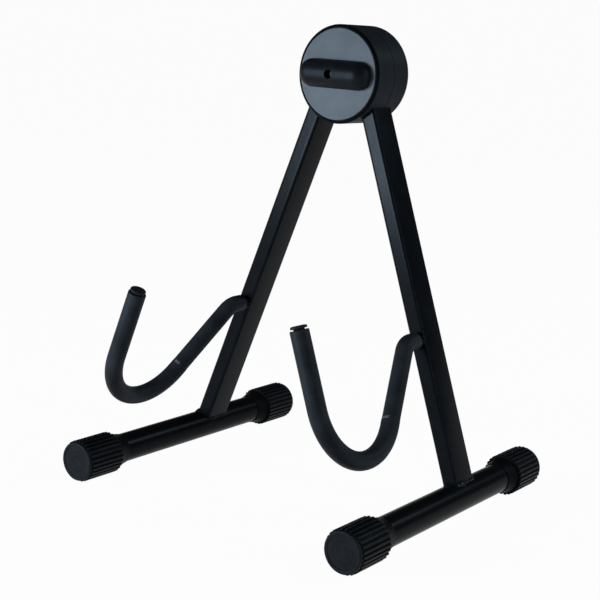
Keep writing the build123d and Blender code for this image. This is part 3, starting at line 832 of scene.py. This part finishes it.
class StandCradleSleeves(bpy.types.Operator):
    """Model the rubber sleeves along the bent rods"""

    bl_idname = "stand.cradle_sleeves"
    bl_label = "Cradle Sleeves"
    CREASE_LENGTH = 2.0 * MM
    CREASE_TO_BOWL = 3.4 * MM
    CREASE_SWELL = 1.03
    SKIN_MARGIN = 0.5 * MM

    def execute(self, context):
        sizes = context.scene.stand_sizes
        finishes = context.scene.stand_finishes
        rubber = tube_rubber(finishes.sleeve_rubber)
        # The second material paints a highlight on the sleeve's crease
        crease_highlight = crease_highlight_rubber(finishes.sleeve_crease_highlight)
        for name, side in SIDES:
            bm = bmesh.new()
            self.sleeve(bm, sizes)
            bm.transform(cradle_matrix(side, sizes))
            node = f"{name}_cradle_sleeve"
            finished(f"{node}_rubber", bm, f"{name}_frame", node, [rubber, crease_highlight])
        return {"FINISHED"}

    def sleeve(self, bm, sizes):
        """Push a ring of rubber along the rod: stub, first bend, run, bowl and rising limb."""
        face = sizes.leg_depth / 2
        corner = Vector((face + sizes.cradle_stub, sizes.cradle_root, 0))
        limb = face + sizes.cradle_reach
        bowl = Vector((limb - sizes.bowl_bend, sizes.cradle_bowl + sizes.bowl_bend, 0))
        to_bowl = bowl - corner
        slope = atan2(to_bowl.y, to_bowl.x) - asin(sizes.bowl_bend / hypot(to_bowl.x, to_bowl.y))
        run = Vector((cos(slope), sin(slope), 0))
        tangent = sizes.stub_bend * tan(-slope / 2)
        start = Vector((face + sizes.sleeve_start, sizes.cradle_root, 0))
        stub_end = corner - Vector((tangent, 0, 0))
        run_start = corner + run * tangent
        bowl_start = bowl + Vector((sin(slope), -cos(slope), 0)) * sizes.bowl_bend
        half_crease = self.CREASE_LENGTH / 2
        crease = bowl_start - run * (half_crease + self.CREASE_TO_BOWL)
        tip = Vector((limb, sizes.cradle_tip, 0))
        turn_to_stub = Matrix.Translation(start) @ Matrix.Rotation(pi / 2, 4, "Y")
        for radius in (sizes.sleeve_radius, sizes.sleeve_bore):
            bmesh.ops.create_circle(bm, cap_ends=False, radius=radius, segments=72, matrix=turn_to_stub)
        bmesh.ops.bridge_loops(bm, edges=bm.edges[:])
        end = bm.faces[:]
        end = raised(bm, end, stub_end - start)
        end = swung(bm, end, stub_end - Vector((0, sizes.stub_bend, 0)), slope, steps=22)
        end = raised(bm, end, crease - run_start - run * half_crease)
        end = raised(bm, end, run * half_crease)
        self.swell(end, crease, sizes)
        end = raised(bm, end, run * half_crease)
        self.paint_crease_highlight(bm, crease, run, sizes)
        end = raised(bm, end, run * self.CREASE_TO_BOWL)
        end = swung(bm, end, bowl, pi / 2 - slope, steps=64)
        raised(bm, end, (0, tip.y - bowl.y, 0))
        self.round_lips(bm, start, tip, sizes)

    def on_skin(self, point, centre, sizes):
        """Whether a point of the sleeve round a centre lies on its outer skin and not on its bore."""
        return (point - centre).length > sizes.sleeve_radius - self.SKIN_MARGIN

    def swell(self, faces, crease, sizes):
        """Raise the outer skin to the crest of the crease."""
        for vert in {vert for piece in faces for vert in piece.verts}:
            if self.on_skin(vert.co, crease, sizes):
                vert.co = crease + (vert.co - crease) * self.CREASE_SWELL

    def paint_crease_highlight(self, bm, crease, run, sizes):
        """Paint a highlight on the crease: pale rubber on the side that faces up and to the right."""
        upper = Vector((-run.y, run.x, 0))
        half_width = 0.6 * MM
        first, last = radians(-20), radians(24)
        for piece in bm.faces:
            middle = piece.calc_center_median()
            out = middle - crease
            beside = abs(out.dot(run))
            turn = atan2(-out.z, out.dot(upper))
            on_crease = beside < half_width and self.on_skin(middle, crease, sizes)
            # Painted highlight: the crease's faces on the lit side get the pale material
            if on_crease and first < turn < last:
                piece.material_index = 1

    def round_lips(self, bm, start, tip, sizes):
        """Round the outer edges at the sleeve's two ends."""
        lips = []
        for edge in bm.edges:
            ends = [vert.co for vert in edge.verts]
            at_start = all(self.on_skin(end, start, sizes) and end.x < start.x + NEAR for end in ends)
            at_tip = all(self.on_skin(end, tip, sizes) and end.y > tip.y - NEAR for end in ends)
            if at_start or at_tip:
                lips.append(edge)
        bevelled(bm, lips, offset=0.7 * MM, segments=3)


class StandEndPlugs(bpy.types.Operator):
    """Model the plugs in the tips of the cradle rods"""

    bl_idname = "stand.end_plugs"
    bl_label = "End Plugs"

    def execute(self, context):
        sizes = context.scene.stand_sizes
        finishes = context.scene.stand_finishes
        plastic = textured("plug_plastic", finishes.plug_plastic, roughest=0.5, gloss=0.06).material
        radius = sizes.plug_radius
        thickness = sizes.plug_thickness
        dome_width = 2.0 * MM
        dome_drop = 0.9 * MM
        stem = 2.0 * MM
        stem_end = -7.0 * MM
        stem_bevel = 0.4 * MM
        profile = [
            (0, thickness),
            *rounding(radius, thickness, dome_width, -dome_drop),
            (radius, 0.5 * MM),
            (radius - 0.2 * MM, 0.15 * MM),
            (radius - 0.6 * MM, 0),
            (stem, 0),
            (stem, stem_end + stem_bevel),
            (stem - stem_bevel, stem_end),
            (0, stem_end),
        ]
        tip = (sizes.leg_depth / 2 + sizes.cradle_reach, sizes.cradle_tip + sizes.rod_standout, 0)
        for name, side in SIDES:
            bm = bmesh.new()
            turned(bm, profile, tip, axis=(0, 1, 0), steps=64)
            bm.transform(cradle_matrix(side, sizes))
            node = f"{name}_cradle_end_plug"
            finished(f"{node}_disc", bm, f"{name}_frame", node, [plastic])
        return {"FINISHED"}


class StandLockKnob(bpy.types.Operator):
    """Model the locking knob: a disc and a rounded grip bar with a hole"""

    bl_idname = "stand.lock_knob"
    bl_label = "Lock Knob"

    def execute(self, context):
        sizes = context.scene.stand_sizes
        finishes = context.scene.stand_finishes
        disc = textured("knob_disc_plastic", finishes.knob_disc, roughest=0.55, gloss=0.10, texture=2000)
        grip = textured("knob_grip_plastic", finishes.knob_grip, roughest=0.50, gloss=0.08, texture=2600)
        self.disc(sizes, disc.material)
        self.bar(sizes, grip.material)
        return {"FINISHED"}

    def disc(self, sizes, plastic):
        """Turn the disc, with its rounded rim and the recess for the spindle's flange."""
        bm = bmesh.new()
        radius = sizes.knob_radius
        face = BAR_FRONT - sizes.bar_height
        back = KNOB_BACK
        floor = back + sizes.flange_depth
        socket = 5.8 * MM
        edge = 0.8 * MM
        back_bevel = 0.2 * MM
        profile = [
            (socket, face),
            *rounding(radius, face, edge, -edge),
            (radius, back + back_bevel),
            (radius - back_bevel, back),
            (sizes.flange_radius, back),
            (sizes.flange_radius, floor),
            (socket, floor),
        ]
        turned(bm, profile, HINGE, axis=(0, -1, 0), steps=192, closed=True)
        finished("lock_knob_disc", bm, "knob", "lock_knob", [plastic], crease=28.0)

    def bar(self, sizes, plastic):
        """Raise a slot-shaped bar, round it over and drill the screw's hole in its crest."""
        bm = bmesh.new()
        rounded_plate(bm, sizes.bar_length, sizes.bar_width, sizes.bar_width / 2, segments=24)
        top = raised(bm, bm.faces[:], (0, 0, sizes.bar_height))[0]
        bevelled(bm, top.edges[:], offset=(sizes.bar_width - sizes.bar_crest) / 2, segments=20)
        drill = bmesh.new()
        seat = sizes.bar_height - sizes.bar_hole_depth
        past = sizes.bar_height + 2.0 * MM
        bit = [(0, seat), (sizes.bar_hole, seat), (sizes.bar_hole, past), (0, past)]
        turned(drill, bit, (0, 0, 0), axis=(0, 0, 1), steps=64)
        bm = drilled(bm, drill)
        face = BAR_FRONT - sizes.bar_height
        bm.transform(Matrix.Translation(HINGE + Vector((0, -face, 0))) @ Matrix.Rotation(pi / 2, 4, "X"))
        finished("lock_knob_grip_bar", bm, "knob", "lock_knob", [plastic], crease=35.0)


class StandHead(bpy.types.Operator):
    """Give the housing and the parts of the hinge their finishes"""

    bl_idname = "stand.head"
    bl_label = "Head"

    def execute(self, context):
        finishes = context.scene.stand_finishes
        plastic = housing_plastic(finishes.housing)
        zinc = zinc_plate(finishes.zinc)
        black = black_oxide(finishes.black_screw)
        natural = nylon(finishes.nylon)
        parts = {
            plastic: ("front_housing", "rear_housing"),
            zinc: (
                "pivot_spindle",
                "clamp_nut",
                "nut_washer",
                "spacer_bush",
                "thrust_washer",
                "retaining_clip",
                "left_hinge_barrel",
                "right_front_hinge_barrel",
                "right_rear_hinge_barrel",
            ),
            black: ("knob_screw", "housing_screws"),
            natural: ("front_friction_washer", "rear_friction_washer"),
        }
        for material, nodes in parts.items():
            for node in nodes:
                frame["nodes"][node].data.materials[0] = material
        return {"FINISHED"}


class StandStageSetup(bpy.types.Operator):
    """Lay the pale floor, hang the soft lights and place the camera"""

    bl_idname = "stand.stage"
    bl_label = "Stage"

    def execute(self, context):
        stage = context.scene.stand_stage
        self.sweep(stage)
        self.lights(stage)
        self.world(stage)
        self.camera(stage)
        context.scene.view_settings.view_transform = "Standard"
        return {"FINISHED"}

    def sweep(self, stage):
        """Round pale floor that curves up at its far edge."""
        bm = bmesh.new()
        edge = 19.0
        curve_width = 5.0
        curve_rise = 1.7
        profile = [(0, 0), (1.5, 0), (4.0, 0), *rounding(edge, 0, curve_width, curve_rise, steps=4)]
        turned(bm, profile, (0, 0, 0), axis=(0, 0, 1), steps=96)
        bmesh.ops.recalc_face_normals(bm, faces=bm.faces)
        if sum(piece.normal.z for piece in bm.faces) < 0:
            bmesh.ops.reverse_faces(bm, faces=bm.faces)
        mesh = bpy.data.meshes.new("pale_floor")
        bm.to_mesh(mesh)
        bm.free()
        mesh.shade_smooth()
        mesh.materials.append(self.paper(stage))
        floor = placed("pale_floor", mesh)

    def paper(self, stage):
        """Matte paper that the camera and reflections see near white, with the shadow kept."""
        material = bpy.data.materials.new("pale_paper")
        material.use_nodes = True
        tree = material.node_tree
        shader = tree.nodes["Principled BSDF"]
        shader.inputs["Base Color"].default_value = [*stage.floor, 1.0]
        shader.inputs["Roughness"].default_value = 1.0
        shader.inputs["Specular IOR Level"].default_value = 0.0
        glow = tree.nodes.new("ShaderNodeEmission")
        glow.inputs["Color"].default_value = (1, 1, 1, 1)
        glow.inputs["Strength"].default_value = 1.0
        path = tree.nodes.new("ShaderNodeLightPath")
        seen = path.outputs["Is Camera Ray"]
        for ray in ("Is Glossy Ray", "Is Transmission Ray"):
            total = tree.nodes.new("ShaderNodeMath")
            total.operation = "ADD"
            total.use_clamp = True
            tree.links.new(seen, total.inputs[0])
            tree.links.new(path.outputs[ray], total.inputs[1])
            seen = total.outputs["Value"]
        share = tree.nodes.new("ShaderNodeMath")
        share.operation = "MULTIPLY"
        share.inputs[1].default_value = stage.floor_white
        tree.links.new(seen, share.inputs[0])
        mix = tree.nodes.new("ShaderNodeMixShader")
        tree.links.new(share.outputs["Value"], mix.inputs["Fac"])
        tree.links.new(shader.outputs["BSDF"], mix.inputs[1])
        tree.links.new(glow.outputs["Emission"], mix.inputs[2])
        tree.links.new(mix.outputs["Shader"], tree.nodes["Material Output"].inputs["Surface"])
        return material

    def lights(self, stage):
        """Soft lights: a key low at the front left, a strip at the right, a box behind at the right."""
        target = Vector((0, 0, 0.17))
        for name, place, width, height, watts in (
            ("front_left_softbox", (-0.71, -1.31, 0.29), 0.42, 0.54, 25.0),
            ("right_strip", (1.75, 0.25, 0.75), 0.3, 1.0, 10.0),
            ("rear_right_softbox", (1.02, 1.26, 1.19), 0.70, 0.30, 9.0),
        ):
            lamp = bpy.data.lights.new(name, "AREA")
            lamp.shape = "RECTANGLE"
            lamp.size = width
            lamp.size_y = height
            lamp.energy = watts
            lamp.color = stage.lamps
            obj = placed(name, lamp)
            obj.location = place
            obj.rotation_euler = (target - Vector(place)).to_track_quat("-Z", "Y").to_euler()

    def world(self, stage):
        """Dim even studio air."""
        world = bpy.data.worlds.new("studio")
        world.use_nodes = True
        air = world.node_tree.nodes["Background"]
        air.inputs["Color"].default_value = [*stage.air, 1.0]
        air.inputs["Strength"].default_value = stage.air_level
        bpy.context.scene.world = world

    def camera(self, stage):
        """Camera at the front right, level with the head and looking a little down."""
        turn, dip, roll = stage.turn, stage.dip, stage.roll
        look = Vector((-sin(turn) * cos(dip), cos(turn) * cos(dip), -sin(dip)))
        level = Vector((cos(turn), sin(turn), 0))
        upright = level.cross(look)
        right = level * cos(roll) + upright * sin(roll)
        up = upright * cos(roll) - level * sin(roll)
        lens = bpy.data.cameras.new("camera")
        lens.lens = stage.lens
        lens.sensor_width = 36.0
        lens.clip_end = 100.0
        camera = placed("camera", lens)
        matrix = Matrix((right, up, -look)).transposed().to_4x4()
        matrix.translation = Vector(stage.eye)
        camera.matrix_world = matrix
        bpy.context.scene.camera = camera


OPERATORS = (
    StandBaseTubes,
    StandFootCaps,
    StandLegs,
    StandLegWelds,
    StandCradleWelds,
    StandCradleSleeves,
    StandEndPlugs,
    StandLockKnob,
    StandHead,
    StandStageSetup,
)


class StandPanel(bpy.types.Panel):
    """Sidebar panel that lists the stand's pieces and its stage"""

    bl_idname = "VIEW3D_PT_stand"
    bl_label = "Folding Instrument Stand"
    bl_space_type = "VIEW_3D"
    bl_region_type = "UI"
    bl_category = "Stand"

    def draw(self, context):
        for operator in OPERATORS:
            self.layout.operator(operator.bl_idname)


GROUPS = (
    ("stand_sizes", StandSizes),
    ("stand_finishes", StandFinishes),
    ("stand_stage", StandStage),
)


def register():
    """Add the property groups, the operators and the panel."""
    for name, group in GROUPS:
        bpy.utils.register_class(group)
        setattr(bpy.types.Scene, name, PointerProperty(type=group))
    for operator in OPERATORS:
        bpy.utils.register_class(operator)
    bpy.utils.register_class(StandPanel)


def unregister():
    """Take the panel, the operators and the property groups away again."""
    bpy.utils.unregister_class(StandPanel)
    for operator in reversed(OPERATORS):
        bpy.utils.unregister_class(operator)
    for name, group in reversed(GROUPS):
        delattr(bpy.types.Scene, name)
        bpy.utils.unregister_class(group)


def main():
    """Make the pieces and the stage."""
    register()
    bpy.ops.stand.base_tubes()
    bpy.ops.stand.foot_caps()
    bpy.ops.stand.legs()
    bpy.ops.stand.leg_welds()
    bpy.ops.stand.cradle_welds()
    bpy.ops.stand.cradle_sleeves()
    bpy.ops.stand.end_plugs()
    bpy.ops.stand.lock_knob()
    bpy.ops.stand.head()
    bpy.ops.stand.stage()


if __name__ == "__main__":
    main()
